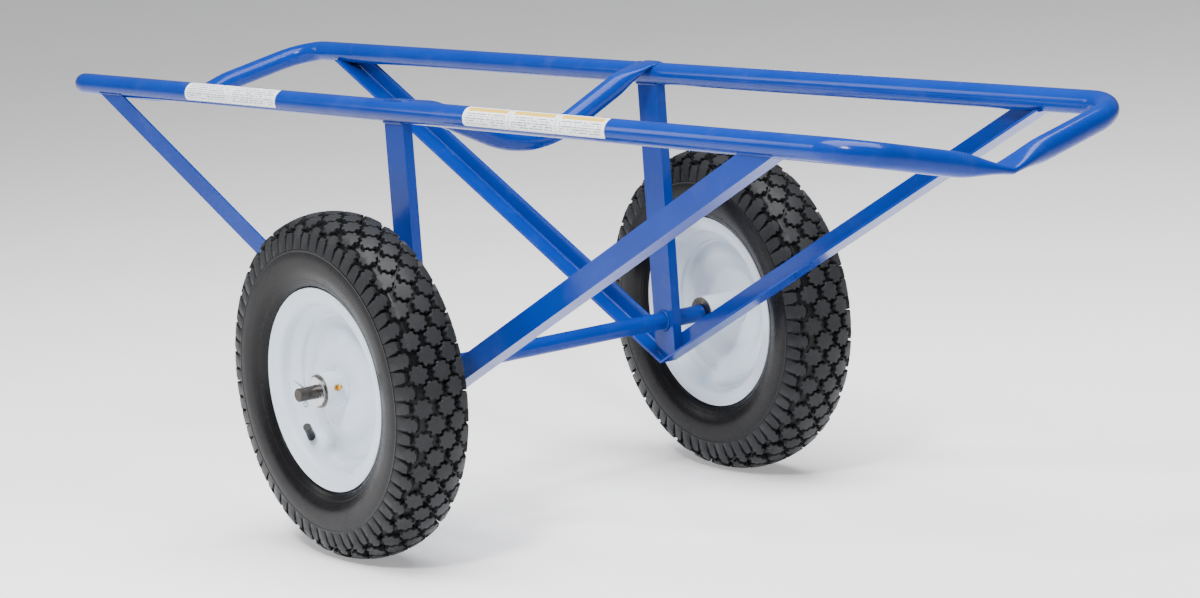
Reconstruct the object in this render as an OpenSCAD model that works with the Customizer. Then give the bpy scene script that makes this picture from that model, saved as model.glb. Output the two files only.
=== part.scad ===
// Two-wheeled long-load trolley.
// A ring of bent tube carries the load. Its two ends dip into shallow cradles
// and a saddle crosses its middle. Two V frames of angle iron hang from the
// ring and carry a fixed axle with two pneumatic wheels.
// X runs along the trolley, +X is the front; Y runs along the axle, +Y is the
// left side; Z is up. The origin is on the ground under the axle's middle.

/* [Ring] */
// Outside diameter of the frame tube
tube_d = 26.7; // [24:0.1:30]
// Wall thickness of the frame tube
tube_wall = 2.3; // [1.6:0.1:3]
// Height of the side rails' centre lines
rail_z = 510; // [480:1:540]
// Distance between the side rails' centre lines
rail_gap = 372; // [350:1:400]
// Distance between the ring's front and rear corners
ring_l = 1588; // [1500:1:1700]
// How far the ring's middle lies in front of the axle
ring_x = 11; // [0:1:20]
// Centre-line radius of the four corner bends
corner_r = 50; // [45:1:60]
// How far the middle of each end hangs below the rails
end_dip = 42; // [30:1:55]
// How far the middle of each end leans out past the corners
end_lean = 10; // [5:1:30]
// Length of tube that the bend at each end's middle flattens, on each side
crush_l = 62; // [40:1:90]
// Thickness of the flattened tube at each end's middle
crush_t = 10; // [8:0.5:16]

/* [Saddle] */
// Height of the saddle's centre line at its lowest point
saddle_z = 453; // [440:1:465]
// Centre-line radius of the saddle's bottom bend
saddle_r = 140; // [110:1:160]
// Slope of the saddle's arms
saddle_slope = 25.5; // [22:0.5:28]
// Thickness of the saddle's flattened ends
blade_t = 6; // [5:0.5:8]
// How far the saddle's flattened ends stand above the rails
blade_rise = 2; // [1:0.5:6]
// Width of the saddle's flattened ends
blade_w = 39; // [34:1:42]

/* [V frames] */
// Leg width of the angle iron
angle_leg = 25.4; // [22:0.1:30]
// Thickness of the angle iron
angle_t = 3.2; // [2.5:0.1:4]
// Distance from the middle to where each arm's lower edge meets the rail
arm_reach = 684; // [620:1:700]
// Height of the lowest point of each V
v_tip_z = 151; // [140:1:155]
// Width of the posts along the trolley
post_w = 38.1; // [34:0.1:40]
// Thickness of the posts across the trolley
post_t = 12.7; // [10:0.1:14]
// Wall thickness of the posts
post_wall = 1.9; // [1.5:0.1:2.5]

/* [Axle] */
// Diameter of the axle rod
axle_d = 15.88; // [15.8:0.01:16]
// Length of the axle rod
axle_l = 706; // [696:1:710]
// Outside diameter of the tube around the axle rod
sleeve_d = 21.3; // [20:0.1:22]
// Length of the tube around the axle rod
sleeve_l = 476; // [470:1:477]
// Distance from the axle's middle to each split pin
pin_y = 343.5; // [338:0.5:347]
// Diameter of the split pins
pin_d = 3.2; // [2.5:0.1:3.5]
// Outside diameter of the axle washers
washer_d = 34; // [30:0.5:38]
// Thickness of the axle washers
washer_t = 2.6; // [2:0.1:3]

/* [Wheels] */
// Distance between the two wheels' middle planes
track = 567.6; // [566:0.1:570]
// Outside diameter of the tyre
tyre_d = 406.4; // [400:0.1:410]
// Width of the tyre at its sidewalls
tyre_w = 89; // [86:0.5:92]
// Outside diameter of the hub
hub_d = 41; // [39:0.5:44]
// Length of the hub
hub_l = 83; // [76:0.5:86]
// Distance from the wheel's middle plane to the hub's inner end
hub_in = 43; // [42:0.5:44]
// Bore of the hub that the bearings are pressed into
bearing_d = 34.93; // [34:0.01:36]
// Radial clearance between the axle rod and each bearing's inner race
race_play = 0.04; // [0.02:0.01:0.08]
// Thickness of the rim's steel sheet
rim_t = 2; // [1.6:0.1:2.4]
// How far the rim's middle is dished outwards round the hub
dish = 12; // [0:0.5:16]
// Angle of the valve round the wheel at rest
valve_angle = 224.7; // [0:0.1:360]
// Angle of the grease nipple round the wheel at rest
nipple_angle = 12; // [0:1:360]

/* [Labels] */
// Length of the long label
long_label_l = 265; // [200:1:280]
// Length of the short label
short_label_l = 216; // [160:1:230]
// Thickness of the labels
label_t = 0.25; // [0.15:0.05:0.4]

/* [Hidden] */

$fn = 96;
blue = [0.13, 0.33, 0.64];
white = [0.93, 0.95, 0.97];
steel = [0.32, 0.31, 0.30];
zinc = [0.74, 0.77, 0.78];
brass = [0.80, 0.62, 0.25];
black = [0.09, 0.09, 0.10];

// Sides and ends: the right wheel is at -Y, the front end is at +X
right = -1;
left = 1;
front = 1;
rear = -1;

// Ring: the plane of each end's leg is turned down about the rail by leg_dip,
// and in that plane the leg leans out by leg_lean
half_gap = rail_gap / 2;
leg_run = norm([half_gap, end_dip]);
leg_l = norm([leg_run, end_lean]);
leg_dip = atan2(end_dip, half_gap);
leg_lean = atan2(end_lean, leg_run);
corner_turn = 90 - leg_lean;
corner_tangent = corner_r * tan(corner_turn / 2);
leg_straight = leg_l - corner_tangent - crush_l;
rail_l = ring_l - 2 * corner_tangent;
skin = 0.1;
// Gap between the lengths that a bent tube is drawn in
hairline = 0.01;
// A flattened tube keeps the length of its outline
crush_w = crush_t + PI * (tube_d - crush_t) / 2;

// Saddle: the arms leave the bottom bend, and their blades lie on the rails
saddle_bend_y = saddle_r * sin(saddle_slope);
saddle_bend_z = saddle_z + saddle_r * (1 - cos(saddle_slope));
saddle_arm_l = 84;
blade_z = rail_z + tube_d / 2 + blade_rise - blade_t;
blade_start = 14;
blade_l = 24;

// V frames
arm_rise = rail_z - tube_d / 2 - v_tip_z;
arm_slope = atan2(arm_rise, arm_reach);
arm_y = half_gap + post_t / 2 + angle_t;
arm_fillet = 3;
arm_toe = 1;

// Wheels
axle_z = tyre_d / 2;
hub_out = hub_l - hub_in;
nipple_u = 28;
flange_t = 1.6;
flange_r = 19.5;
race_l = 11;
race_in_r = 11.4;
race_out_r = 14.2;
ball_r = 3.1;
pitch_r = (race_in_r + race_out_r) / 2;
ball_count = 8;
washer_y = track / 2 + hub_out + flange_t + 0.3;

// Rim sheet's middle line as [distance from the middle plane, radius]: a disc
// that is dished outwards, a drop centre, a ramp, the bead seat and the curled
// flange. The inner half is drawn mirrored, so its dish runs the other way, and
// the two discs meet all over along one line.
well_r = 88;
seat_r = 100;
lip = [33.6, 118.8];
function disc_joint(bulge) = [[bulge, hub_d / 2], [bulge, 46], [0, 74], [0, 80]];
function rim_line(bulge) = concat(
    [for (i = [0:2]) shifted(disc_joint(bulge), -rim_t / 2)[i]],
    arc([rim_t / 2 + 5, well_r - 5], 5, 180, 90, 5),
    [[9, well_r], [16, seat_r]],
    arc([28, seat_r + 3.9], 3, -90, 0, 5),
    [[31, 112], [31.7, 115.5], lip]);

// Tyre's outline as [distance from the middle plane, radius], crown to bead
crown_r = 75;
tyre_side = tyre_w / 2;
tyre_outer = concat(
    [for (a = [0:4:24]) [crown_r * sin(a), axle_z - crown_r + crown_r * cos(a)]],
    [[33.8, 194], [37.4, 188.6], [40.6, 181.6], [43.2, 171.5], [tyre_side, 160],
     [tyre_side, 151], [43.2, 140.5], [40, 131], [36.7, 124.4], [34.6, 121.6],
     [31.8, 120.2], [29.5, 113.5], [29.5, 105]]);
tyre_inner = [[18, 101.6], [20, 111], [31, 123], [38, 137], [40.2, 153], [39.4, 167],
    [35.5, 178], [28.6, 186], [15, 191.4], [0, 192.8]];

// Inner tube's outline, which fills the tyre down to the rim's well
tube_line = [[0, 191.8], [14.8, 190.4], [28, 185.1], [34.7, 177.4], [38.4, 166.8],
    [39.2, 153], [37, 137.5], [30.3, 124], [19, 112.6], [16.6, 104], [9, 90.6], [0, 89.8]];

// Valve: the stem leaves the ramp towards the hub and leans outwards
valve_r = 95;
valve_u = 14;
valve_lean = 56.4;
valve_stem_l = 17.5;
valve_cap_l = 10.5;
valve_root = 9;

// Labels, as the middle along X and the first angle and sweep round the tube,
// measured from straight outwards towards the top
long_label_x = 285;
long_label_left_x = 305;
short_label_x = -355;
label_start = -30;
label_sweep = 112;

function arc(c, r, a0, a1, n) =
    [for (i = [0:n]) c + r * [cos(a0 + (a1 - a0) * i / n), sin(a0 + (a1 - a0) * i / n)]];
function unit(v) = v / norm(v);
function turned(v) = [-v[1], v[0]];
function reversed(p) = [for (i = [len(p) - 1:-1:0]) p[i]];
function mirrored(p) = [for (q = reversed(p)) [-q[0], q[1]]];
function before(p, i) = unit(i == 0 ? p[1] - p[0] : p[i] - p[i - 1]);
function after(p, i) = unit(i == len(p) - 1 ? p[i] - p[i - 1] : p[i + 1] - p[i]);
function mitre(p, i) =
    let (m = turned(unit(before(p, i) + after(p, i)))) m / (m * turned(before(p, i)));
// A path moved sideways by d, with mitred corners
function shifted(p, d) = [for (i = [0:len(p) - 1]) p[i] + d * mitre(p, i)];
// A sheet of thickness t along a path
function sheet(p, t) = concat(shifted(p, t / 2), reversed(shifted(p, -t / 2)));

module ring2d(r, wall) {
    difference() {
        circle(r);
        circle(r - wall);
    }
}

module pipe(l, r = tube_d / 2, wall = tube_wall) {
    linear_extrude(l) ring2d(r, wall);
}

// A thin round slice of the frame tube, for hulls
module disc(shrink) {
    cylinder(h = skin, r = tube_d / 2 - shrink, $fn = 32);
}

module pipe_bend(radius, turn) {
    rotate_extrude(angle = turn) translate([radius, 0]) ring2d(tube_d / 2, tube_wall);
}

// Turns a profile so that it is swept round Y, and +Z points away from the middle
module on_wheel(side) {
    translate([0, side * track / 2, axle_z])
        rotate([90, 0, side == left ? 180 : 0]) children();
}

// Stands +Z along Y, pointing away from the middle, on the axle's centre line
module on_axle(side) {
    translate([0, 0, axle_z]) rotate([90, 0, side == left ? 180 : 0]) children();
}

// ---- Ring ----

module side_rail(side) {
    color(blue) translate([ring_x - rail_l / 2, side * half_gap, rail_z]) rotate([0, 90, 0])
        pipe(rail_l);
}

// Places children, made for the front right corner, at another end or side
module at_end(end, side) {
    mirror([end == rear ? 1 : 0, 0, 0]) mirror([0, side == left ? 1 : 0, 0]) children();
}

// Moves children with the ring's middle
module on_ring() {
    translate([ring_x, 0, 0]) children();
}

// Places children at the front right corner, with the leg's plane turned flat
module at_corner() {
    translate([ring_l / 2, -half_gap, rail_z]) rotate([-leg_dip, 0, 0]) children();
}

// Places children on the leg at a distance from the corner, +Z along the leg
module along_leg(d) {
    at_corner() rotate([-90, 0, -leg_lean]) translate([0, 0, d]) children();
}

// The space that a side rail fills
module rail_cut(side) {
    translate([-ring_l / 2, side * half_gap, rail_z]) rotate([0, 90, 0])
        cylinder(h = ring_l, r = tube_d / 2);
}

module corner(end, side) {
    color(blue) on_ring() at_end(end, side) at_corner() translate([-corner_tangent, corner_r])
        rotate([0, 0, -90]) pipe_bend(corner_r, corner_turn);
}

// One half of the flattened middle, as a solid: round at the leg, and an oval
// with the same outline length at the middle
module crush_solid(shrink) {
    hull() {
        along_leg(leg_l - crush_l) disc(shrink);
        translate([ring_l / 2 + end_lean, skin / 2, rail_z - end_dip]) rotate([90, 0, 0])
            linear_extrude(skin) for (s = [-1, 1])
                translate([s * (crush_w - crush_t) / 2, 0]) circle(crush_t / 2 - shrink, $fn = 32);
    }
}

// Children and their mirror image across the trolley
module both_sides() {
    children();
    mirror([0, 1, 0]) children();
}

// The end's two straight legs and the flattened middle that they meet in
module end_cradle(end) {
    color(blue) on_ring() at_end(end, right) {
        both_sides() along_leg(corner_tangent) pipe(leg_straight - hairline);
        difference() {
            both_sides() crush_solid(0);
            both_sides() crush_solid(tube_wall);
        }
    }
}

// ---- Saddle ----

// Places children on the left arm at a distance past the bottom bend
module along_saddle(d) {
    translate([0, saddle_bend_y, saddle_bend_z]) rotate([saddle_slope - 90, 0, 0])
        translate([0, 0, d]) children();
}

// One flattened end, as a solid
module blade_solid(shrink) {
    hull() {
        along_saddle(saddle_arm_l) disc(shrink);
        translate([-blade_w / 2 + shrink, half_gap - blade_start, blade_z + shrink])
            cube([blade_w - 2 * shrink, blade_l - shrink, blade_t - 2 * shrink]);
    }
}

module centre_saddle() {
    color(blue) {
        translate([0, 0, saddle_z + saddle_r]) rotate([90, 0, 90])
            rotate([0, 0, -90 - saddle_slope]) pipe_bend(saddle_r, 2 * saddle_slope);
        both_sides() {
            along_saddle(hairline) pipe(saddle_arm_l - 2 * hairline);
            difference() {
                blade_solid(0);
                blade_solid(tube_wall);
                rail_cut(left);
            }
        }
    }
}

// ---- V frames ----

// Angle iron's section: x is inwards, y is up square to the arm
module angle_section() {
    square([angle_t, angle_leg - arm_toe]);
    square([angle_leg - arm_toe, angle_t]);
    square([angle_t - arm_toe, angle_leg]);
    square([angle_leg, angle_t - arm_toe]);
    translate([angle_t - arm_toe, angle_leg - arm_toe]) circle(arm_toe, $fn = 32);
    translate([angle_leg - arm_toe, angle_t - arm_toe]) circle(arm_toe, $fn = 32);
    difference() {
        translate([angle_t, angle_t]) square(arm_fillet);
        translate([angle_t + arm_fillet, angle_t + arm_fillet]) circle(arm_fillet);
    }
}

module arm(end, side) {
    over = 60;
    color(blue) at_end(end, side) difference() {
            translate([0, -arm_y, v_tip_z]) rotate([0, -arm_slope, 0])
                translate([-over, 0, 0]) rotate([90, 0, 90])
                    linear_extrude(norm([arm_reach, arm_rise]) + 2 * over) angle_section();
            rail_cut(right);
            translate([-2 * over, -2 * half_gap, 0]) cube([2 * over, 2 * half_gap, rail_z]);
            translate([0, -2 * half_gap, rail_z - 9.2]) cube([ring_l, 2 * half_gap, rail_z]);
        }
}

// The space under the arms' lower legs, or that far above it, which closes each
// post's foot
module v_below(above = 0, width = ring_l) {
    top = v_tip_z + (angle_t + above) / cos(arm_slope);
    rotate([90, 0, 0]) linear_extrude(width, center = true)
        polygon([[-post_w, top + post_w * tan(arm_slope)], [0, top],
            [post_w, top + post_w * tan(arm_slope)], [post_w, 0], [-post_w, 0]]);
}

module post(side) {
    foot = v_tip_z;
    color(blue) difference() {
        translate([0, side * half_gap, foot]) linear_extrude(rail_z - foot) difference() {
            square([post_w, post_t], center = true);
            square([post_w - 2 * post_wall, post_t - 2 * post_wall], center = true);
        }
        rail_cut(side);
        v_below();
        translate([0, side * (half_gap + post_t / 2), 0]) v_below(arm_fillet, 2 * arm_fillet);
        translate([0, 0, axle_z]) rotate([90, 0, 0])
            cylinder(h = track, r = sleeve_d / 2, center = true);
    }
}

// ---- Axle ----

module axle_tube() {
    sleeve_bore = axle_d / 2 + 0.06;
    color(blue) translate([0, sleeve_l / 2, axle_z]) rotate([90, 0, 0])
        pipe(sleeve_l, sleeve_d / 2, sleeve_d / 2 - sleeve_bore);
}

module axle_rod() {
    chamfer = 1;
    color(steel) difference() {
        translate([0, 0, axle_z]) rotate([90, 0, 0]) rotate_extrude()
            polygon([[0, -axle_l / 2], [axle_d / 2 - chamfer, -axle_l / 2],
                [axle_d / 2, -axle_l / 2 + chamfer], [axle_d / 2, axle_l / 2 - chamfer],
                [axle_d / 2 - chamfer, axle_l / 2], [0, axle_l / 2]]);
        for (s = [right, left]) translate([0, s * pin_y, axle_z])
            cylinder(h = 2 * axle_d, r = pin_d / 2 + 0.2, center = true);
    }
}

module washer(side) {
    color(zinc) on_axle(side) translate([0, 0, washer_y])
        pipe(washer_t, washer_d / 2, washer_d / 2 - axle_d / 2 - 0.3);
}

// Split pin: an eye below the axle, and two legs above it, one bent outwards
module split_pin(side) {
    eye_r = 2.7;
    eye_drop = axle_d / 2 + 4.4;
    leg_top = axle_d / 2 + 9;
    bent_l = 15;
    color(zinc) translate([0, side * pin_y, axle_z]) {
        translate([0, 0, -axle_d / 2 - 1.5]) cylinder(h = axle_d + 3, r = pin_d / 2, $fn = 32);
        translate([0, 0, -eye_drop]) rotate([90, 0, 90]) rotate_extrude($fn = 32)
            translate([eye_r, 0]) circle(pin_d / 4, $fn = 16);
        translate([0, -side * pin_d / 4, axle_d / 2])
            cylinder(h = leg_top - axle_d / 2, r = pin_d / 4, $fn = 24);
        translate([0, side * pin_d / 4, axle_d / 2]) rotate([-side * 50, 0, 0])
            cylinder(h = bent_l, r = pin_d / 4, $fn = 24);
    }
}

// ---- Labels ----

// A thin curved label on a rail, on the rail's outer upper side
module label(side, x, l) {
    color(white) translate([x - l / 2, side * half_gap, rail_z]) rotate([90, 0, 90])
        rotate([0, 0, side == left ? label_start : 180 - label_start - label_sweep])
            rotate_extrude(angle = label_sweep) translate([tube_d / 2, 0]) square([label_t, l]);
}

// ---- Wheels ----

module tyre(side) {
    outer = tyre_outer;
    color(black) on_wheel(side) rotate_extrude()
        rotate(90) mirror([0, 1]) polygon(concat(outer, tyre_inner,
            mirrored(tyre_inner), mirrored(outer)));
}

module valve_axis(angle) {
    rotate([0, 0, angle]) translate([valve_r, 0, valve_u]) rotate([0, -valve_lean, 0]) children();
}

// The hole that the valve stem passes through
module valve_hole(angle) {
    valve_axis(angle) cylinder(h = 4 * valve_root, r = 5.8, center = true);
}

module inner_tube(side, angle) {
    wall = 1.8;
    color(black) on_wheel(side) difference() {
        rotate_extrude() rotate(90) mirror([0, 1]) difference() {
            polygon(concat(tube_line, mirrored(tube_line)));
            polygon(concat(shifted(tube_line, -wall), mirrored(shifted(tube_line, -wall))));
        }
        valve_hole(angle);
    }
}

module rim_half(side, face, angle) {
    color(white) on_wheel(side) difference() {
        mirror([0, 0, face == "outer" ? 0 : 1]) rotate_extrude()
            rotate(90) mirror([0, 1]) polygon(sheet(rim_line(face == "outer" ? dish : -dish), rim_t));
        if (face == "outer") valve_hole(angle);
    }
}

module hub(side, angle) {
    color(white) on_wheel(side) difference() {
        translate([0, 0, -hub_in]) pipe(hub_l, hub_d / 2, (hub_d - bearing_d) / 2);
        rotate([0, 0, angle]) translate([0, 0, nipple_u]) rotate([0, 90, 0])
            cylinder(h = hub_d, r = 3);
    }
}

// Places children at each end of the hub, +Z pointing out of it
module at_hub_ends() {
    translate([0, 0, hub_out]) children();
    translate([0, 0, -hub_in]) rotate([180, 0, 0]) children();
}

// Outer races with the flange and shield that close the hub's ends
module outer_races(side) {
    shield_r = race_in_r + 0.5;
    color(steel) on_wheel(side) at_hub_ends() difference() {
        rotate_extrude() polygon([[shield_r, flange_t], [flange_r, flange_t], [flange_r, 0],
            [bearing_d / 2, 0], [bearing_d / 2, -race_l], [race_out_r, -race_l],
            [race_out_r, -0.4], [shield_r, -0.4]]);
        translate([0, 0, -race_l / 2]) rotate_extrude() translate([pitch_r, 0])
            circle(ball_r + 0.1, $fn = 32);
    }
}

module ball_cages(side) {
    cage_l = 4;
    cage_t = 1.2;
    color(steel) on_wheel(side) at_hub_ends() translate([0, 0, -race_l / 2]) {
        translate([0, 0, -cage_l / 2]) pipe(cage_l, pitch_r + cage_t / 2, cage_t);
        for (i = [0:ball_count - 1]) rotate([0, 0, i * 360 / ball_count])
            translate([pitch_r, 0, 0]) sphere(ball_r, $fn = 32);
    }
}

// Inner races stay on the axle
module inner_races(side) {
    bore_r = axle_d / 2 + race_play;
    color(steel) on_axle(side) translate([0, 0, track / 2]) at_hub_ends() difference() {
        translate([0, 0, -race_l]) pipe(race_l + flange_t + 0.2, race_in_r, race_in_r - bore_r);
        translate([0, 0, -race_l / 2]) rotate_extrude() translate([pitch_r, 0])
            circle(ball_r + 0.3, $fn = 32);
    }
}

module valve_stem(side, angle) {
    color(black) on_wheel(side) valve_axis(angle) {
        translate([0, 0, -valve_root]) cylinder(h = valve_root + valve_stem_l, r1 = 5.6, r2 = 4.6);
        translate([0, 0, valve_stem_l]) cylinder(h = valve_cap_l - 3, r = 3.6);
    }
}

module valve_cap(side, angle) {
    color(black) on_wheel(side) valve_axis(angle) translate([0, 0, valve_stem_l]) difference() {
        cylinder(h = valve_cap_l, r = 4.8);
        translate([0, 0, -1]) cylinder(h = valve_cap_l - 2, r = 3.6);
    }
}

// Grease nipple, screwed into the hub's side
module grease_nipple(side, angle) {
    color(brass) on_wheel(side) rotate([0, 0, angle]) translate([bearing_d / 2, 0, nipple_u])
        rotate([0, 90, 0]) {
            cylinder(h = 5, r = 3);
            translate([0, 0, (hub_d - bearing_d) / 2]) cylinder(h = 3.2, r = 4.1, $fn = 6);
            cylinder(h = 10, r = 1.9, $fn = 32);
            translate([0, 0, 10]) sphere(3, $fn = 32);
        }
}

left_turn = 130;
left_valve = valve_angle + left_turn;
left_nipple = nipple_angle + left_turn;

side_rail(right);  // side_rail_right
side_rail(left);  // side_rail_left
corner(front, right);  // corner_front_right
corner(front, left);  // corner_front_left
corner(rear, right);  // corner_rear_right
corner(rear, left);  // corner_rear_left
end_cradle(front);  // end_cradle_front
end_cradle(rear);  // end_cradle_rear
centre_saddle();
arm(front, right);  // arm_front_right
arm(front, left);  // arm_front_left
arm(rear, right);  // arm_rear_right
arm(rear, left);  // arm_rear_left
post(right);  // post_right
post(left);  // post_left
axle_tube();
axle_rod();
washer(right);  // washer_right
washer(left);  // washer_left
split_pin(right);  // split_pin_right
split_pin(left);  // split_pin_left
inner_races(right);  // inner_races_right
inner_races(left);  // inner_races_left
label(right, long_label_x, long_label_l);  // label_long_right
label(right, short_label_x, short_label_l);  // label_short_right
label(left, long_label_left_x, long_label_l);  // label_long_left
tyre(right);  // tyre_right
inner_tube(right, valve_angle);  // inner_tube_right
rim_half(right, "outer", valve_angle);  // rim_outer_right
rim_half(right, "inner", valve_angle);  // rim_inner_right
hub(right, nipple_angle);  // hub_right
outer_races(right);  // outer_races_right
ball_cages(right);  // ball_cages_right
valve_stem(right, valve_angle);  // valve_stem_right
valve_cap(right, valve_angle);  // valve_cap_right
grease_nipple(right, nipple_angle);  // grease_nipple_right
tyre(left);  // tyre_left
inner_tube(left, left_valve);  // inner_tube_left
rim_half(left, "outer", left_valve);  // rim_outer_left
rim_half(left, "inner", left_valve);  // rim_inner_left
hub(left, left_nipple);  // hub_left
outer_races(left);  // outer_races_left
ball_cages(left);  // ball_cages_left
valve_stem(left, left_valve);  // valve_stem_left
valve_cap(left, left_valve);  // valve_cap_left
grease_nipple(left, left_nipple);  // grease_nipple_left
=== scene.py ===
# %% [markdown]
# # Two-wheeled long-load trolley
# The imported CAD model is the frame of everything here. Lengths are in metres in the CAD's
# own axes: X runs along the trolley with the front at +X, Y runs along the axle with the
# left wheel at +Y, and Z is up from the ground under the axle's middle.

# %% Load the CAD model
import math
import bmesh
import bpy
from mathutils import Matrix, Vector, noise


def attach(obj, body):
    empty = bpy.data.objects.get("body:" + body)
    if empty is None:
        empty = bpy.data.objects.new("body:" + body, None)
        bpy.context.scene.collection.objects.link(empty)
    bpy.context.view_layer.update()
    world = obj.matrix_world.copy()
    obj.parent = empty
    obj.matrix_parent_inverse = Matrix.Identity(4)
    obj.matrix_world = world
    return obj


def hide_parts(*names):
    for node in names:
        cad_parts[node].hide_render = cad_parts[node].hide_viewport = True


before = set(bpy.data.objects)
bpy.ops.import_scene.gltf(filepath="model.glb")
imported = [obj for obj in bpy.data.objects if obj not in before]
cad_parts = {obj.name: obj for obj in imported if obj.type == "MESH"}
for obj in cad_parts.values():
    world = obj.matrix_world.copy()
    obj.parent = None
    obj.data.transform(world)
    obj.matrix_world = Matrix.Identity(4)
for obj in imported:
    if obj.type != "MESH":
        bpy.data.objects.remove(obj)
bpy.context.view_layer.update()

# %% [markdown]
# ## Sizes
# These repeat the CAD's own sizes, so that each new piece lies where its node lies.

# %% Sizes shared with the CAD
MM = 0.001
RIGHT = -1
LEFT = 1
TUBE_R = 0.01335
RAIL_Z = 0.510
HALF_GAP = 0.186
RING_L = 1.588
RING_X = 0.011
CORNER_R = 0.050
END_DIP = 0.042
END_LEAN = 0.010
CRUSH_L = 0.062
SADDLE_Z = 0.453
SADDLE_R = 0.140
SADDLE_SLOPE = math.radians(25.5)
SADDLE_ARM = 0.084
ARM_REACH = 0.684
V_TIP_Z = 0.151
ARM_Y = HALF_GAP + 0.00955
ARM_W = 0.0254
POST_W = 0.0381
POST_T = 0.0127
SLEEVE_R = 0.01065
TRACK = 0.5676
AXLE_Z = 0.2032
TYRE_R = 0.2032
HUB_R = 0.0205
print("rails", 2 * HALF_GAP, "m apart at", RAIL_Z, "m; axle at", AXLE_Z, "m")

# %% [markdown]
# ## Camera
# The camera stands out in front of the right wheel and well above the rails, and is rolled
# slightly. A long lens keeps the perspective weak.

# %% Camera
camera_data = bpy.data.cameras.new("camera")
camera_data.lens = 104.72
camera_data.sensor_width = 36
camera_data.clip_end = 100
camera = bpy.data.objects.new("camera", camera_data)
bpy.context.scene.collection.objects.link(camera)
bpy.context.scene.camera = camera
yaw = math.radians(53.73)
pitch = math.radians(9.70)
roll = math.radians(-4.14)
ahead = Vector((-math.cos(pitch) * math.sin(yaw), math.cos(pitch) * math.cos(yaw),
                -math.sin(pitch)))
level = ahead.cross(Vector((0, 0, 1))).normalized()
upward = level.cross(ahead)
across = level * math.cos(roll) + upward * math.sin(roll)
upright = upward * math.cos(roll) - level * math.sin(roll)
camera.matrix_world = (Matrix.Translation((3.3747, -2.3909, 0.9609))
                       @ Matrix((across, upright, -ahead)).transposed().to_4x4())
print("camera at", [round(c, 3) for c in camera.location])

# %% [markdown]
# ## Materials
# Each material is a small node tree. Its patterns read Object coordinates, which are metres,
# so a pattern's scale is one over the size of the real detail.

# %% Helpers for materials


def srgb(code):
    """A '#rrggbb' colour as linear RGBA."""
    parts = [int(code[i:i + 2], 16) / 255 for i in (1, 3, 5)]
    linear = [c / 12.92 if c <= 0.04045 else ((c + 0.055) / 1.055) ** 2.4 for c in parts]
    return (*linear, 1.0)


def add(tree, kind, x, y, inputs=None, **settings):
    """Adds a node at (x, y), sets its properties, and sets or links its inputs."""
    node = tree.nodes.new(kind)
    node.location = (x, y)
    for key, value in settings.items():
        setattr(node, key, value)
    for key, value in (inputs or {}).items():
        if isinstance(value, bpy.types.NodeSocket):
            tree.links.new(value, node.inputs[key])
        else:
            node.inputs[key].default_value = value
    return node


def blank_material(name):
    """A material with only a shader and an output, and its Object coordinates."""
    material = bpy.data.materials.new(name)
    material.use_nodes = True
    tree = material.node_tree
    tree.nodes.clear()
    shader = add(tree, "ShaderNodeBsdfPrincipled", 0, 0)
    add(tree, "ShaderNodeOutputMaterial", 300, 0, {"Surface": shader.outputs["BSDF"]})
    coords = add(tree, "ShaderNodeTexCoord", -1500, 0)
    return material, tree, shader, coords.outputs["Object"]


def noise_at(tree, where, size, y, detail=3.0, rough=0.5):
    """Noise whose features are about size metres across."""
    made = add(tree, "ShaderNodeTexNoise", -1250, y,
               {"Vector": where, "Scale": 1 / size, "Detail": detail, "Roughness": rough})
    return made.outputs["Fac"]


def spread(tree, value, low, high, x, y, start=0.3, end=0.7):
    """Maps a noise value's middle range onto low to high."""
    made = add(tree, "ShaderNodeMapRange", x, y, {"Value": value, "From Min": start,
               "From Max": end, "To Min": low, "To Max": high})
    return made.outputs["Result"]


def mixed(tree, factor, first, second, x, y):
    """A mix of two colours."""
    made = add(tree, "ShaderNodeMix", x, y, data_type="RGBA")
    for index, value in ((0, factor), (6, first), (7, second)):
        if isinstance(value, bpy.types.NodeSocket):
            tree.links.new(value, made.inputs[index])
        else:
            made.inputs[index].default_value = value
    return made.outputs[2]


def bumped(tree, shader, height, distance):
    """Adds a bump of a height in metres to the shader."""
    made = add(tree, "ShaderNodeBump", -300, -300,
               {"Height": height, "Distance": distance, "Strength": 1.0})
    tree.links.new(made.outputs["Normal"], shader.inputs["Normal"])


print("material helpers ready")

# %% Painted steel


def enamel(name, base, shade, low, high, peel=0.00002):
    """Sprayed enamel: faint tone changes, orange peel and a little dust."""
    material, tree, shader, where = blank_material(name)
    clouds = noise_at(tree, where, 0.09, 300)
    dust = noise_at(tree, where, 0.03, 0, 4.0, 0.6)
    ripple = noise_at(tree, where, 0.006, -300, 1.0)
    tone = mixed(tree, spread(tree, clouds, 0, 1, -1000, 300), srgb(base), srgb(shade),
                 -700, 300)
    dusty = mixed(tree, spread(tree, dust, 0, 0.02, -1000, 60, 0.55, 0.8), tone,
                  srgb("#c9ced8"), -450, 200)
    tree.links.new(dusty, shader.inputs["Base Color"])
    tree.links.new(spread(tree, dust, low, high, -700, -100), shader.inputs["Roughness"])
    shader.inputs["Specular IOR Level"].default_value = 0.16
    shader.inputs["Coat Weight"].default_value = 0.06
    shader.inputs["Coat Roughness"].default_value = 0.05
    bumped(tree, shader, ripple, peel)
    return material


# Glossy blue stoving enamel on the tubes and the angle iron
blue_enamel = enamel("blue_enamel", "#0a3189", "#082c80", 0.14, 0.22)
# The same paint where it has run over a weld, so it is smoother and wetter
weld_enamel = enamel("weld_enamel", "#092d80", "#082876", 0.08, 0.16, 0.0001)
# White powder coat on the pressed rims and the hubs
white_enamel = enamel("white_enamel", "#d3dce6", "#cad5e1", 0.1, 0.2)
print("enamels:", blue_enamel.name, weld_enamel.name, white_enamel.name)

# %% Rubber and plastic


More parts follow.
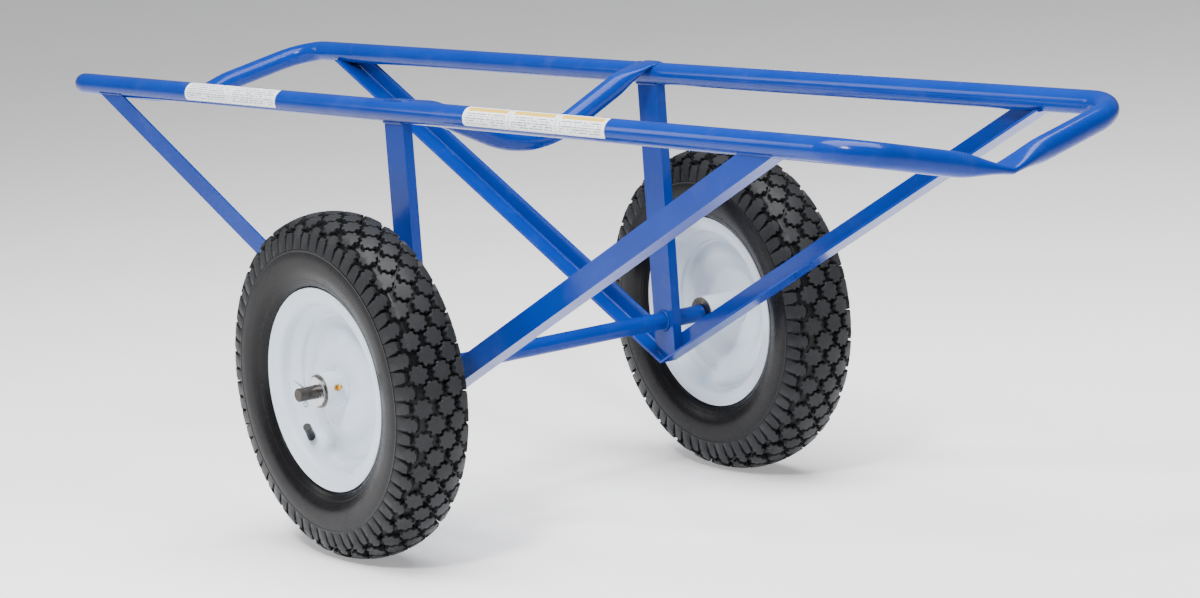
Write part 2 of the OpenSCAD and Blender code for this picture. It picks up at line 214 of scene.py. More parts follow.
def rubber(name, base, shade, low, high, grain):
    """Moulded rubber: fine grain, dull patches and a trace of dust."""
    material, tree, shader, where = blank_material(name)
    patches = noise_at(tree, where, 0.03, 300, 4.0)
    fine = noise_at(tree, where, grain, 0, 5.0, 0.7)
    tone = mixed(tree, spread(tree, patches, 0, 1, -1000, 300), srgb(base), srgb(shade),
                 -700, 300)
    dusty = mixed(tree, spread(tree, fine, 0, 0.08, -1000, 60, 0.5, 0.75), tone,
                  srgb("#77746f"), -450, 200)
    tree.links.new(dusty, shader.inputs["Base Color"])
    tree.links.new(spread(tree, patches, low, high, -700, -100),
                   shader.inputs["Roughness"])
    shader.inputs["Specular IOR Level"].default_value = 0.14
    bumped(tree, shader, fine, 0.00012)
    return material


# Tyre sidewall: smooth moulded rubber with a dull shine
sidewall_rubber = rubber("sidewall_rubber", "#121214", "#0e0e10", 0.2, 0.3, 0.0012)
# Tread blocks: the same rubber with a matte ground-in grain
tread_rubber = rubber("tread_rubber", "#28292b", "#202123", 0.36, 0.52, 0.0009)
# Inner tube and valve stem: soft black butyl rubber
tube_rubber = rubber("tube_rubber", "#1c1c1e", "#161618", 0.4, 0.55, 0.001)
# Valve cap: hard black moulded plastic
black_plastic = rubber("black_plastic", "#161618", "#101012", 0.25, 0.38, 0.0008)
print("rubbers and plastic made")

# %% Bare metals


def metal(name, base, stain, low, high, amount, size, line):
    """Bare metal: stains over a base, with fine machining lines round the axle."""
    material, tree, shader, where = blank_material(name)
    blots = noise_at(tree, where, size, 300, 5.0, 0.6)
    stretched = add(tree, "ShaderNodeMapping", -1500, -300, {"Vector": where,
                    "Scale": (0.05, 1.0, 0.05)})
    lines = noise_at(tree, stretched.outputs["Vector"], line, -300, 2.0)
    tone = mixed(tree, spread(tree, blots, 0, amount, -1000, 300, 0.4, 0.7), srgb(base),
                 srgb(stain), -700, 300)
    tree.links.new(tone, shader.inputs["Base Color"])
    tree.links.new(spread(tree, blots, low, high, -700, -100), shader.inputs["Roughness"])
    shader.inputs["Metallic"].default_value = 1.0
    bumped(tree, shader, lines, 0.00003)
    return material


# Cold-drawn axle rod: dark oily steel with light rust stains
axle_steel = metal("axle_steel", "#55504c", "#382c25", 0.30, 0.50, 0.9, 0.012, 0.0006)
# Zinc plate on the washers and the split pins
zinc_plate = metal("zinc_plate", "#c9ccd0", "#9ea3aa", 0.20, 0.34, 0.6, 0.004, 0.0004)
# Pressed steel bearing shields with a film of grease
bearing_steel = metal("bearing_steel", "#77736c", "#453d34", 0.25, 0.45, 0.8, 0.005, 0.0004)
# Turned brass grease nipple
brass = metal("brass", "#d0a24a", "#a67a30", 0.18, 0.30, 0.5, 0.003, 0.0003)
print("metals:", axle_steel.name, zinc_plate.name, bearing_steel.name, brass.name)

# %% [markdown]
# The labels are white film with a neutral print: rows of short grey bars in panels, and a
# yellow band on the long label. The pattern reads the label's own UV map, in metres.

# %% Label film


def band(tree, value, low, high, x, y):
    """One where a value lies between two limits, else zero."""
    over = add(tree, "ShaderNodeMath", x, y, {0: value, 1: low}, operation="GREATER_THAN")
    under = add(tree, "ShaderNodeMath", x, y - 160, {0: value, 1: high}, operation="LESS_THAN")
    both = add(tree, "ShaderNodeMath", x + 180, y, {0: over.outputs[0], 1: under.outputs[0]},
               operation="MULTIPLY")
    return both.outputs[0]


def combined(tree, first, second, x, y, operation="MULTIPLY"):
    """Two values joined by a maths operation."""
    made = add(tree, "ShaderNodeMath", x, y, {0: first, 1: second}, operation=operation)
    return made.outputs[0]


def label_film(name, length, height, panels, header):
    """White film with panels of grey bars, and a yellow band if it has a header."""
    material, tree, shader, where = blank_material(name)
    flat = add(tree, "ShaderNodeUVMap", -1900, -300, uv_map="label").outputs["UV"]
    parts = add(tree, "ShaderNodeSeparateXYZ", -1700, -300, {"Vector": flat})
    along = parts.outputs["X"]
    up = parts.outputs["Y"]
    panel_l = length / panels
    in_panel = combined(tree, along, panel_l, -1500, -300, "MODULO")
    text_top = height * (0.62 if header else 0.9)
    column = band(tree, in_panel, 0.006, panel_l - 0.006, -1300, -300)
    rows = band(tree, up, height * 0.1, text_top, -1300, -700)
    pitch_v = height / 9.5
    in_row = combined(tree, up, pitch_v, -1300, -1000, "MODULO")
    stroke = band(tree, in_row, pitch_v * 0.28, pitch_v * 0.72, -1100, -1000)
    row_id = combined(tree, combined(tree, up, pitch_v, -1300, -1300, "DIVIDE"), 0.0,
                      -1100, -1300, "FLOOR")
    word_at = add(tree, "ShaderNodeCombineXYZ", -900, -1300, {"X": along, "Y": row_id})
    stretched = add(tree, "ShaderNodeMapping", -700, -1300,
                    {"Vector": word_at.outputs[0], "Scale": (330.0, 7.3, 1.0)})
    words = add(tree, "ShaderNodeTexNoise", -500, -1300,
                {"Vector": stretched.outputs["Vector"], "Scale": 1.0, "Detail": 0.0})
    word = band(tree, words.outputs["Fac"], 0.44, 1.0, -300, -1300)
    print_mask = combined(tree, combined(tree, column, rows, -900, -400),
                          combined(tree, stroke, word, -900, -600), -700, -500)
    wear = noise_at(tree, where, 0.006, 300, 4.0)
    film = mixed(tree, spread(tree, wear, 0, 1, -1000, 300), srgb("#eef0f2"),
                 srgb("#e2e5ea"), -700, 300)
    ink = mixed(tree, print_mask, film, srgb("#7d828a"), -500, 200)
    if header:
        top_band = combined(tree, band(tree, up, height * 0.70, height * 0.92, -900, 600),
                            column, -600, 600)
        ink = mixed(tree, top_band, ink, srgb("#d9b44a"), -300, 300)
    frame_line = band(tree, in_panel, panel_l - 0.0012, panel_l, -900, 900)
    ink = mixed(tree, frame_line, ink, srgb("#9a9fa6"), -150, 300)
    tree.links.new(ink, shader.inputs["Base Color"])
    shader.inputs["Roughness"].default_value = 0.3
    shader.inputs["Coat Weight"].default_value = 0.3
    bumped(tree, shader, wear, 0.00004)
    return material


print("label film ready")

# %% [markdown]
# ## Mesh helpers
# A piece is built as a bmesh in place, so its object stays at the origin.

# %% Helpers for meshes


def piece(name, bm, body, material, sharp=35):
    """Turns a bmesh into a smooth-shaded piece that rides on a body."""
    bmesh.ops.recalc_face_normals(bm, faces=bm.faces)
    limit = math.radians(sharp)
    for edge in bm.edges:
        edge.smooth = len(edge.link_faces) == 2 and edge.calc_face_angle(0) < limit
    for face in bm.faces:
        face.smooth = True
    mesh = bpy.data.meshes.new(name)
    bm.to_mesh(mesh)
    bm.free()
    mesh.materials.append(material)
    made = bpy.data.objects.new(name, mesh)
    bpy.context.scene.collection.objects.link(made)
    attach(made, body)
    return made


def strip(bm, first, second):
    """Faces between two open rows of points."""
    for i in range(len(first) - 1):
        bm.faces.new((first[i], first[i + 1], second[i + 1], second[i]))


def loft(bm, rings, closed_ends=True):
    """A skin over rings of points."""
    made = [[bm.verts.new(p) for p in ring] for ring in rings]
    for first, second in zip(made, made[1:]):
        strip(bm, first + first[:1], second + second[:1])
    if closed_ends:
        bm.faces.new(made[0])
        bm.faces.new(made[-1])
    return made


def lathe(bm, outline, steps):
    """Spins a closed outline of (radius, height) points round Z."""
    verts = [bm.verts.new((r, 0, h)) for r, h in outline]
    edges = [bm.edges.new((a, b)) for a, b in zip(verts, verts[1:] + verts[:1])]
    bmesh.ops.spin(bm, geom=verts + edges, cent=(0, 0, 0), axis=(0, 0, 1),
                   angle=math.tau, steps=steps, use_merge=True)


def on_wheel(side):
    """Takes a wheel's own axes, Z outwards along the axle, to the trolley's."""
    turn = Matrix.Rotation(math.pi if side == LEFT else 0, 4, "Z")
    return (Matrix.Translation((0, side * TRACK / 2, AXLE_Z)) @ turn
            @ Matrix.Rotation(math.pi / 2, 4, "X"))


def ease(t):
    """Goes smoothly from 0 to 1."""
    t = min(max(t, 0), 1)
    return t * t * (3 - 2 * t)


def smooth_line(points, count):
    """A smooth line through points, with count steps between each two."""
    made = []
    for i in range(len(points) - 1):
        p0, p1, p2, p3 = (Vector(points[min(max(i + k, 0), len(points) - 1)])
                          for k in (-1, 0, 1, 2))
        for j in range(count):
            t = j / count
            made.append(0.5 * (2 * p1 + (p2 - p0) * t + (2 * p0 - 5 * p1 + 4 * p2 - p3) * t * t
                               + (3 * p1 - p0 - 3 * p2 + p3) * t ** 3))
    made.append(Vector(points[-1]))
    return made


# A direction that no weld runs along, so a bead's rings can be turned from it
SKEW = Vector((0.31, 0.47, 0.83))


def bead(bm, path, radius, closed=False, seed=0):
    """A lumpy weld bead along a path, with a ripple for each stop of the torch."""
    count = len(path)
    rings = []
    for i, point in enumerate(path):
        ahead_at = path[(i + 1) % count] if closed or i < count - 1 else point
        behind_at = path[i - 1] if closed or i > 0 else point
        tangent = (Vector(ahead_at) - Vector(behind_at)).normalized()
        first = (SKEW - tangent * tangent.dot(SKEW)).normalized()
        second = tangent.cross(first)
        lump = 1 + 0.16 * math.sin(i * math.tau / 3) + 0.25 * noise.noise(
            Vector((i * 0.21, seed, 0.5)))
        taper = 1 if closed else ease((min(i, count - 1 - i) + 1) / 4)
        size = radius * lump * taper
        rings.append([Vector(point) + size * (math.cos(a) * first + math.sin(a) * second)
                      for a in [math.tau * k / 10 for k in range(10)]])
    made = loft(bm, rings, not closed)
    if closed:
        strip(bm, made[-1] + made[-1][:1], made[0] + made[0][:1])


def stepped(corners, step, closed=False):
    """Points about step apart along straight lines between corners."""
    made = []
    ends = corners[1:] + corners[:1] if closed else corners[1:]
    for start, end in zip(corners, ends):
        start, end = Vector(start), Vector(end)
        count = max(1, round((end - start).length / step))
        made += [start.lerp(end, k / count) for k in range(count)]
    if not closed:
        made.append(Vector(corners[-1]))
    return made


print("mesh helpers ready")

# %% [markdown]
# ## Tyres
# The carcass is spun from the tyre's outline, sunk to the floor of the grooves under the
# tread. The tread blocks are cogs in five staggered columns. Two rows of lugs wrap each
# shoulder, and taper into ribs that end at a raised line on the sidewall.

# %% Tyre outline
crown_r = 0.075
crown = [(crown_r * math.sin(math.radians(a)),
          TYRE_R - crown_r + crown_r * math.cos(math.radians(a))) for a in range(0, 25, 4)]
flank = [(33.8, 194), (37.4, 188.6), (40.6, 181.6), (43.2, 171.5), (44.5, 160), (44.5, 151),
         (43.2, 140.5), (40, 131), (36.7, 124.4), (34.6, 121.6)]
outline = smooth_line([(u, r, 0) for u, r in crown] + [(u * MM, r * MM, 0) for u, r in flank],
                      10)
reach = [0.0]
for here, there in zip(outline, outline[1:]):
    reach.append(reach[-1] + (there - here).length)
tread_edge = 0.0665


def on_outline(w):
    """The outline's point and outward direction at arc length w from the crown."""
    flip = -1 if w < 0 else 1
    w = min(abs(w), reach[-1] - 1e-6)
    i = max(k for k in range(len(reach) - 1) if reach[k] <= w)
    t = (w - reach[i]) / (reach[i + 1] - reach[i])
    along = (outline[i + 1] - outline[i]).normalized()
    point = outline[i].lerp(outline[i + 1], t)
    return flip * point.x, point.y, flip * -along.y, along.x


GROOVE = 0.006
RIB_GROOVE = 0.0006
SHOULDER = 0.046


def groove_depth(w):
    """How deep the grooves are at arc length w, full to the shoulder and then less."""
    fade = ease((abs(w) - SHOULDER) / (tread_edge - SHOULDER))
    return GROOVE - (GROOVE - RIB_GROOVE) * fade


def tyre_point(angle, w, lift):
    """A point at an angle round the tyre, lifted off its outline."""
    u, r, nu, nr = on_outline(w)
    r += lift * nr
    return Vector((r * math.cos(angle), r * math.sin(angle), u + lift * nu))


print("tyre outline is", round(reach[-1] / MM, 1), "mm long from crown to rim")

# %% Tyre carcass


def tyre_carcass(side, name):
    """The tyre without its blocks, from bead to bead."""
    outer = []
    steps = 118
    for k in range(steps + 1):
        w = reach[-1] * k / steps
        u, r, nu, nr = on_outline(w)
        lift = -groove_depth(w) if w < tread_edge else 0
        for middle, height in ((0.0672, 0.0008), (reach[-1] - 0.0055, 0.0006),
                               (reach[-1] - 0.0085, 0.0005)):
            lift += height * math.exp(-((w - middle) / 0.0007) ** 2)
        outer.append((r + lift * nr, u + lift * nu))
    inside = [(0.1204, 0.0324), (0.1124, 0.0298), (0.105, 0.0298), (0.1016, 0.018),
              (0.111, 0.020), (0.123, 0.031), (0.153, 0.0402), (0.178, 0.0355),
              (0.1914, 0.015)]
    half = outer + inside
    far = [(r, -h) for r, h in reversed(half) if h > 1e-6]
    bm = bmesh.new()
    lathe(bm, half + far, 192)
    bm.transform(on_wheel(side))
    made = piece("tyre_carcass_" + name, bm, "wheel_" + name, sidewall_rubber,
                 60)
    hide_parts("tyre_" + name)
    return made


carcasses = [tyre_carcass(RIGHT, "right"), tyre_carcass(LEFT, "left")]
print("carcass faces:", len(carcasses[0].data.polygons))

# %% Tread blocks
PITCHES = 32
COLUMN = 0.0147
BLOCK_FOOT = -0.0066
EDGE_DROP = -0.0004


def cog(bm, turn, middle):
    """A cog-shaped block with eight teeth."""
    shape = []
    for tooth in range(8):
        for part, radius in ((-0.30, 9.6), (-0.20, 11.7), (0.20, 11.7), (0.30, 9.6)):
            a = math.tau * (tooth + 0.5 + part) / 8
            shape.append((radius * MM * math.cos(a), radius * MM * math.sin(a)))
    rings = []
    for scale, lift in ((1.03, BLOCK_FOOT), (1.0, -0.0005), (0.95, 0.0), (0.55, 0.0)):
        rings.append([tyre_point(turn + s * scale / TYRE_R, middle + w * scale, lift)
                      for s, w in shape])
    made = loft(bm, rings, False)
    hub_vert = bm.verts.new(tyre_point(turn, middle, 0))
    last = made[-1]
    for i in range(len(last)):
        bm.faces.new((last[i - 1], last[i], hub_vert))


def lug(bm, turn, rows, side):
    """A lug that wraps the shoulder, with a half width for each arc length."""
    grid = []
    for w, half in rows:
        depth = groove_depth(w * MM) + 0.0006
        row = []
        for s, lift in ((-1.04, -depth), (-1, EDGE_DROP), (-0.9, 0), (0, 0), (0.9, 0),
                        (1, EDGE_DROP), (1.04, -depth)):
            row.append(tyre_point(turn + s * half * MM / TYRE_R, side * w * MM, lift))
        grid.append([bm.verts.new(p) for p in row])
    for first, second in zip(grid, grid[1:]):
        strip(bm, first, second)
    foot = [bm.verts.new(tyre_point(turn + s * rows[0][1] * MM / TYRE_R,
                                    side * (rows[0][0] - 0.5) * MM, BLOCK_FOOT))
            for s in (-1, -1, -0.9, 0, 0.9, 1, 1)]
    strip(bm, foot, grid[0])


big_lug = [(37.2, 2.6), (37.7, 4.6), (38.9, 5.2), (39.8, 8.2), (41.8, 8.6), (42.6, 7.0),
           (44.4, 7.0), (45.2, 9.4), (48.6, 9.4), (49.4, 7.8), (51.2, 7.8), (54, 8.3),
           (58, 8.5), (62, 8.9), (66.5, 9.5)]
small_lug = [(46.6, 4.6), (47.2, 5.6), (50, 5.8), (50.8, 7.0), (54, 7.2), (58, 7.5),
             (62, 8.1), (66.5, 9.2)]


def tread(side, name):
    """All the blocks and lugs of one tyre."""
    bm = bmesh.new()
    for k in range(PITCHES):
        turn = math.tau * k / PITCHES
        half_on = turn + math.pi / PITCHES
        for column in (-2, 0, 2):
            cog(bm, turn, column * COLUMN)
        for column in (-1, 1):
            cog(bm, half_on, column * COLUMN)
        for face in (-1, 1):
            lug(bm, half_on, big_lug, face)
            lug(bm, turn, small_lug, face)
    bm.transform(on_wheel(side))
    return piece("tread_" + name, bm, "wheel_" + name, tread_rubber, 30)


treads = [tread(RIGHT, "right"), tread(LEFT, "left")]
print("tread faces:", len(treads[0].data.polygons))

# %% [markdown]
# ## Rims
# Each rim is two pressed dishes, welded back to back round the hub, whose middles bulge
# outwards. The outline is the middle line of the sheet: disc, drop centre, ramp, bead
# seat and curled lip.

# %% Rim dishes
RIM_T = 0.002
DISH = 0.012


def rim_path(bulge):
    """The middle line of a half rim's sheet, as (radius, height)."""
    return smooth_line([(r * MM, h * MM + bulge * ease((73 - r) / 29), 0) for r, h in (
        (20.5, 1), (34, 1), (44, 1), (50, 1), (56, 1), (62, 1), (68, 1), (74, 1), (79, 1),
        (84, 1.6), (87.2, 4.2), (88, 8), (91, 11.4), (96, 14.2), (99.3, 17.4), (100.2, 22),
        (101.4, 27.6), (104.4, 30.4), (110, 30.9), (115, 31.7), (118.6, 33.4))], 4)


def rim_dish(side, name, face, label):
    """One pressed half of a rim, as a closed sheet with a rolled edge."""
    upper = []
    lower = []
    path = rim_path(face * DISH)
    for i, point in enumerate(path):
        before = path[max(i - 1, 0)]
        after = path[min(i + 1, len(path) - 1)]
        along = (after - before).normalized()
        normal = Vector((-along.y, along.x, 0)) * RIM_T / 2
        upper.append(point + normal)
        lower.append(point - normal)
    edge = [path[-1] + Vector((math.cos(a), math.sin(a), 0)) * RIM_T / 2
            for a in (math.radians(150), math.radians(110), math.radians(60),
                      math.radians(10), math.radians(-30))]
    outline_rh = [(p.x, face * p.y) for p in upper[:-1] + edge + lower[-2::-1]]
    bm = bmesh.new()
    lathe(bm, outline_rh, 160)
    bm.transform(on_wheel(side))
    made = piece("rim_" + label + "_dish_" + name, bm, "wheel_" + name, white_enamel,
                 50)
    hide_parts("rim_" + label + "_" + name)
    return made


rims = []
for wheel_side, wheel_name in ((RIGHT, "right"), (LEFT, "left")):
    rims.append(rim_dish(wheel_side, wheel_name, 1, "outer"))
    rims.append(rim_dish(wheel_side, wheel_name, -1, "inner"))
print("rim dishes:", len(rims))

# %% [markdown]
# A fillet weld joins each dish to the hub.

# %% Hub welds
for wheel_side, wheel_name in ((RIGHT, "right"), (LEFT, "left")):
    bm = bmesh.new()
    for face in (-1, 1):
        ring_path = [(HUB_R * math.cos(a) * 1.02, HUB_R * math.sin(a) * 1.02, DISH + face * 0.0026)
                     for a in [math.tau * k / 90 for k in range(90)]]
        bead(bm, ring_path, 0.0024, True, face + 4)
    bm.transform(on_wheel(wheel_side))
    piece("hub_weld_" + wheel_name, bm, "wheel_" + wheel_name, white_enamel, 60)
print("hub welds made")

# %% [markdown]
# ## Ring ends
# Each end of the ring is one bent tube: two corner bends, two legs that run down to the
# middle, and the middle itself, where the bend has flattened the tube.

# %% Ring ends
leg_run = math.hypot(HALF_GAP, END_DIP)
leg_l = math.hypot(leg_run, END_LEAN)
leg_dip = math.atan2(END_DIP, HALF_GAP)
leg_lean = math.atan2(END_LEAN, leg_run)
corner_turn = math.pi / 2 - leg_lean
corner_tangent = CORNER_R * math.tan(corner_turn / 2)
CRUSH_A = 0.0188
CRUSH_B = 0.0052


def oval(centre, wide, high, a, b, power, count=40):
    """A ring of points on a rounded oval."""
    made = []
    for k in range(count):
        angle = math.tau * k / count
        c = math.copysign(abs(math.cos(angle)) ** (2 / power), math.cos(angle))
        s = math.copysign(abs(math.sin(angle)) ** (2 / power), math.sin(angle))
        made.append(centre + a * c * wide + b * s * high)
    return made


def leg_stations():
    """Rings from the rail's end to the flattened middle, for the front right leg."""
    run = Vector((1, 0, 0))
    fall = Vector((0, math.cos(leg_dip), -math.sin(leg_dip)))
    normal = Vector((0, math.sin(leg_dip), math.cos(leg_dip)))
    origin = Vector((RING_L / 2, -HALF_GAP, RAIL_Z))
    rings = []
    for k in range(17):
        a = corner_turn * k / 16
        centre = (origin + run * (CORNER_R * math.sin(a) - corner_tangent)
                  + fall * (CORNER_R - CORNER_R * math.cos(a)))
        out = run * math.sin(a) - fall * math.cos(a)
        rings.append(oval(centre, out, normal, TUBE_R, TUBE_R, 2))
    heading = run * math.sin(leg_lean) + fall * math.cos(leg_lean)
    out = run * math.cos(leg_lean) - fall * math.sin(leg_lean)
    left_over = leg_l - corner_tangent
    for back in (0.075, 0.062, 0.054, 0.046, 0.038, 0.031, 0.025, 0.019, 0.014, 0.009,
                 0.004, 0.0):
        flat = ease(1 - back / CRUSH_L)
        centre = origin + heading * (corner_tangent + left_over - back)
        turn = ease(1 - back / 0.02)
        wide = out.lerp(Vector((1, 0, 0)), turn).normalized()
        high = normal.lerp(Vector((0, 0, 1)), turn).normalized()
        rings.append(oval(centre, wide, high, TUBE_R + (CRUSH_A - TUBE_R) * flat,
                          TUBE_R + (CRUSH_B - TUBE_R) * flat, 2 + 0.5 * flat))
    return rings


def ring_end(end, name):
    """A whole end of the ring."""
    near = leg_stations()
    far = [[Vector((p.x, -p.y, p.z)) for p in ring] for ring in reversed(near[:-1])]
    rings = [[Vector((end * p.x + RING_X, p.y, p.z)) for p in ring] for ring in near + far]
    bm = bmesh.new()
    loft(bm, rings)
    made = piece("ring_end_" + name, bm, "frame", blue_enamel, 25)
    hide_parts("end_cradle_" + name, "corner_" + name + "_right",
                "corner_" + name + "_left")
    return made


ring_ends = [ring_end(1, "front"), ring_end(-1, "rear")]
print("ring ends:", [o.name for o in ring_ends])

# %% [markdown]
# ## Saddle
# The saddle is one tube with a wide bend. Its ends are flattened where they lie on the
# inner top of the rails.

# %% Saddle
BLADE_A = 0.019
BLADE_B = 0.003


def saddle_stations():
    """Rings from the saddle's middle to the end of its left blade."""
    rings = []
    for k in range(13):
        a = SADDLE_SLOPE * k / 12
        centre = Vector((0, SADDLE_R * math.sin(a), SADDLE_Z + SADDLE_R * (1 - math.cos(a))))
        up = Vector((0, -math.sin(a), math.cos(a)))
        rings.append(oval(centre, Vector((1, 0, 0)), up, TUBE_R, TUBE_R, 2))
    start = Vector((0, SADDLE_R * math.sin(SADDLE_SLOPE),
                    SADDLE_Z + SADDLE_R * (1 - math.cos(SADDLE_SLOPE))))
    heading = Vector((0, math.cos(SADDLE_SLOPE), math.sin(SADDLE_SLOPE)))
    bend_end = start + heading * (SADDLE_ARM - 0.012)
    blade_top = RAIL_Z + TUBE_R - 0.0009
    target = Vector((0, HALF_GAP - 0.012, blade_top - 0.0022))
    last = Vector((0, HALF_GAP + 0.005, blade_top - 0.0002))
    for k in range(1, 15):
        t = k / 14
        centre = bend_end.lerp(target, t)
        centre.z += 0.002 * math.sin(math.pi * t)
        flat = ease(t)
        slope = SADDLE_SLOPE * (1 - 0.8 * ease((t - 0.5) * 2))
        up = Vector((0, -math.sin(slope), math.cos(slope)))
        rings.append(oval(centre, Vector((1, 0, 0)), up, TUBE_R + (BLADE_A - TUBE_R) * flat,
                          TUBE_R + (BLADE_B - TUBE_R) * flat, 2 + 1.2 * flat))
    for t in (0.5, 1.0):
        rings.append(oval(target.lerp(last, t), Vector((1, 0, 0)), Vector((0, 0, 1)),
                          BLADE_A - 0.0008 * t, BLADE_B - 0.0005 * t, 3.2))
    return rings


half_saddle = saddle_stations()
other_half = [[Vector((p.x, -p.y, p.z)) for p in ring] for ring in reversed(half_saddle[1:])]
bm = bmesh.new()
loft(bm, other_half + half_saddle)
saddle = piece("saddle", bm, "frame", blue_enamel, 40)
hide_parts("centre_saddle")
print("saddle faces:", len(saddle.data.polygons))

# %% [markdown]
# ## Welds on the frame
# Painted beads run round the tops and feet of the posts, round the axle tube, along the
# tops of the arms, and along the saddle's blades.

# %% Frame welds
arm_tan = (RAIL_Z - TUBE_R - V_TIP_Z) / ARM_REACH
arm_cos = 1 / math.hypot(1, arm_tan)
bm = bmesh.new()
for side in (RIGHT, LEFT):
    y0 = side * HALF_GAP
    post_x = POST_W / 2 + 0.0004
    post_y = POST_T / 2 + 0.0004
    top_z = RAIL_Z - math.sqrt(TUBE_R ** 2 - (POST_T / 2) ** 2) - 0.0006
    bead(bm, stepped([(-post_x, y0 - post_y, top_z), (post_x, y0 - post_y, top_z),
                      (post_x, y0 + post_y, top_z), (-post_x, y0 + post_y, top_z)],
                     0.0013, True), 0.0017, True, side + 2)
    for face in (-1, 1):
        sleeve_y = y0 + face * (POST_T / 2 + 0.0006)
        bead(bm, [(SLEEVE_R * 1.08 * math.cos(a), sleeve_y,
                   AXLE_Z + SLEEVE_R * 1.08 * math.sin(a))
                  for a in [math.tau * k / 54 for k in range(54)]], 0.0021, True, face + 7)
    for end in (-1, 1):
        foot_z = V_TIP_Z + 0.0035 / arm_cos
        foot = []
        for k in range(13):
            x = end * (0.0015 + (POST_W / 2 - 0.0015) * k / 12)
            foot.append((x, y0 - side * (POST_T / 2 + 0.0004), foot_z + abs(x) * arm_tan))
        bead(bm, foot, 0.0019, False, end + 11)
        rail_face = RAIL_Z - math.sqrt(TUBE_R ** 2 - (ARM_Y - HALF_GAP) ** 2)
        low_x = (rail_face - V_TIP_Z) / arm_tan
        high_x = low_x - ARM_W / (arm_cos * arm_tan)
        weld_y = side * (ARM_Y + 0.0006)
        bead(bm, stepped([(end * (high_x - 0.002), weld_y, rail_face + 0.0005),
                          (end * (low_x + 0.001), weld_y, rail_face + 0.0005)], 0.0013),
             0.0016, False, end + side + 15)
        inner_y = side * (ARM_Y - ARM_W)
        inner_face = RAIL_Z - 0.0105
        inner_x = (inner_face - V_TIP_Z) / arm_tan
        bead(bm, stepped([(end * (inner_x - 0.001), side * (ARM_Y - 0.0032), inner_face),
                          (end * (inner_x + 0.001), inner_y, inner_face)], 0.0013),
             0.0017, False, end + side + 19)
    for end in (-1, 1):
        bead(bm, stepped([(end * 0.0195, side * (HALF_GAP - 0.0115), RAIL_Z + 0.0078),
                          (end * 0.0198, side * (HALF_GAP - 0.006), RAIL_Z + 0.0122),
                          (end * 0.0192, side * (HALF_GAP + 0.005), RAIL_Z + 0.0127)],
                         0.0013), 0.0017, False, end + side + 23)
frame_welds = piece("frame_welds", bm, "frame", weld_enamel, 70)
print("weld faces:", len(frame_welds.data.polygons))

# %% [markdown]
# ## Labels
# Each label is a thin strip of film wrapped on the rail, with rounded corners. Its UV map
# holds its flat size in metres.

# %% Labels


FILM_R = TUBE_R + 0.0003
FILM_START = math.radians(-30)
FILM_H = math.radians(112) * FILM_R
LONG_FILM_L = 0.265
SHORT_FILM_L = 0.216


def rail_label(name, node, side, middle, length, material):
    """A strip of film on a rail's outer face, wrapped from below its middle to its top."""
    corner = 0.003
    bm = bmesh.new()
    layer = bm.loops.layers.uv.new("label")
    columns = sorted({0.0, length} | {corner * k / 6 for k in range(7)}
                     | {length - corner * k / 6 for k in range(7)}
                     | {length * k / 20 for k in range(21)})
    grid = []
    for x in columns:
        edge = min(x, length - x)
        cut = corner - math.sqrt(max(corner ** 2 - max(corner - edge, 0) ** 2, 0))
        row = []
        for k in range(17):
            v = cut + (FILM_H - 2 * cut) * k / 16
            a = FILM_START + v / FILM_R
            vert = bm.verts.new((middle - length / 2 + x,
                                 side * (HALF_GAP + FILM_R * math.cos(a)),
                                 RAIL_Z + FILM_R * math.sin(a)))
            row.append((vert, x, v))
        grid.append(row)
    for first, second in zip(grid, grid[1:]):
        for i in range(16):
            corners = (first[i], first[i + 1], second[i + 1], second[i])
            made = bm.faces.new([c[0] for c in corners])
            for loop, item in zip(made.loops, corners):
                loop[layer].uv = (item[1] if side == RIGHT else length - item[1], item[2])
    made = piece(name, bm, "frame", material, 60)
    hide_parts(node)
    thick = made.modifiers.new("thickness", "SOLIDIFY")
    thick.thickness = 0.00025
    thick.offset = 0
    return made


long_film = label_film("long_label_film", LONG_FILM_L, FILM_H, 3, True)
short_film = label_film("short_label_film", SHORT_FILM_L, FILM_H, 2, False)
rail_label("label_long_near", "label_long_right", RIGHT, 0.285, LONG_FILM_L, long_film)
rail_label("label_short_near", "label_short_right", RIGHT, -0.355, SHORT_FILM_L, short_film)
rail_label("label_long_far", "label_long_left", LEFT, 0.305, LONG_FILM_L, long_film)
print("labels made")

# %% [markdown]
# ## Finishes on the CAD nodes
# Every node that stays in view takes the material of its real finish.

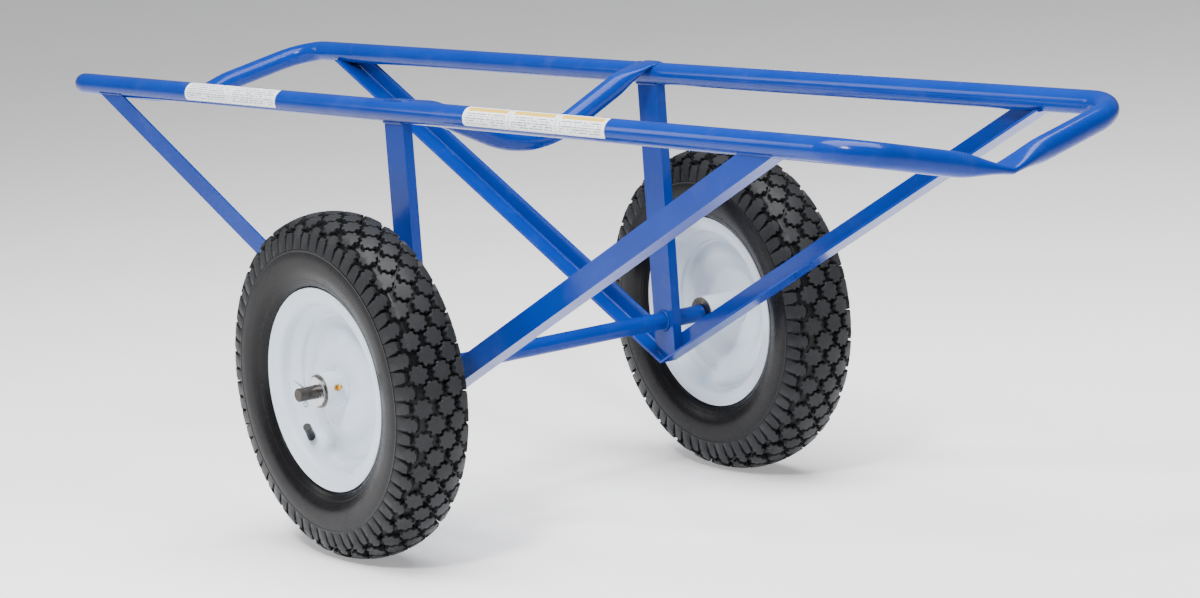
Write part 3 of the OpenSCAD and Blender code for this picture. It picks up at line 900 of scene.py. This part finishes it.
# %% Finishes on the CAD nodes
finishes = {"side_rail": blue_enamel, "corner": blue_enamel, "end_cradle": blue_enamel,
            "centre_saddle": blue_enamel, "arm": blue_enamel, "post": blue_enamel,
            "axle_tube": blue_enamel, "axle_rod": axle_steel, "washer": zinc_plate,
            "split_pin": zinc_plate, "inner_races": bearing_steel,
            "outer_races": bearing_steel, "ball_cages": bearing_steel,
            "rim": white_enamel, "hub": white_enamel, "tyre": sidewall_rubber,
            "inner_tube": tube_rubber, "valve_stem": tube_rubber,
            "valve_cap": black_plastic, "grease_nipple": brass, "label": short_film}
for node_name, node_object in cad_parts.items():
    kind = max((k for k in finishes if node_name.startswith(k)), key=len)
    node_object.data.materials.clear()
    node_object.data.materials.append(finishes[kind])
print("finished", len(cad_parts), "nodes")

# %% [markdown]
# ## Floor and light
# A pale floor and soft studio light: one wide soft box overhead, a fill from the camera's
# side, and a bright surround that the enamel reflects.

# %% Floor and light
floor_material, floor_tree, floor_shader, floor_where = blank_material("floor_paper")
grain = noise_at(floor_tree, floor_where, 0.4, 0)
floor_tone = mixed(floor_tree, spread(floor_tree, grain, 0, 1, -1000, 300),
                   srgb("#f4f4f5"), srgb("#f1f1f2"), -700, 300)
floor_tree.links.new(floor_tone, floor_shader.inputs["Base Color"])
floor_shader.inputs["Roughness"].default_value = 0.9
floor_shader.inputs["Emission Color"].default_value = srgb("#ffffff")
floor_shader.inputs["Emission Strength"].default_value = 0.36
bm = bmesh.new()
bmesh.ops.create_grid(bm, x_segments=8, y_segments=8, size=24)
floor_mesh = bpy.data.meshes.new("floor")
bm.to_mesh(floor_mesh)
bm.free()
floor_mesh.materials.append(floor_material)
floor = bpy.data.objects.new("floor", floor_mesh)
bpy.context.scene.collection.objects.link(floor)


def soft_box(name, at, target, width, height, power):
    """A rectangular soft light that points at a target."""
    data = bpy.data.lights.new(name, "AREA")
    data.shape = "RECTANGLE"
    data.size = width
    data.size_y = height
    data.energy = power
    made = bpy.data.objects.new(name, data)
    bpy.context.scene.collection.objects.link(made)
    direction = Vector(target) - Vector(at)
    made.matrix_world = (Matrix.Translation(at)
                         @ direction.to_track_quat("-Z", "Y").to_matrix().to_4x4())
    return made


soft_box("overhead", (0.4, -0.2, 3.0), (0, 0, 0.3), 3.4, 2.2, 260)
soft_box("key", (1.6, -2.6, 3.4), (0, 0, 0.3), 0.7, 0.7, 170)
soft_box("side", (-2.8, -2.4, 1.8), (0, 0, 0.3), 0.8, 1.4, 22)
world = bpy.data.worlds.new("studio")
world.use_nodes = True
surround = world.node_tree.nodes["Background"]
surround.inputs["Color"].default_value = srgb("#f5f7fb")
surround.inputs["Strength"].default_value = 0.2
bpy.context.scene.world = world
print("floor and lights made")
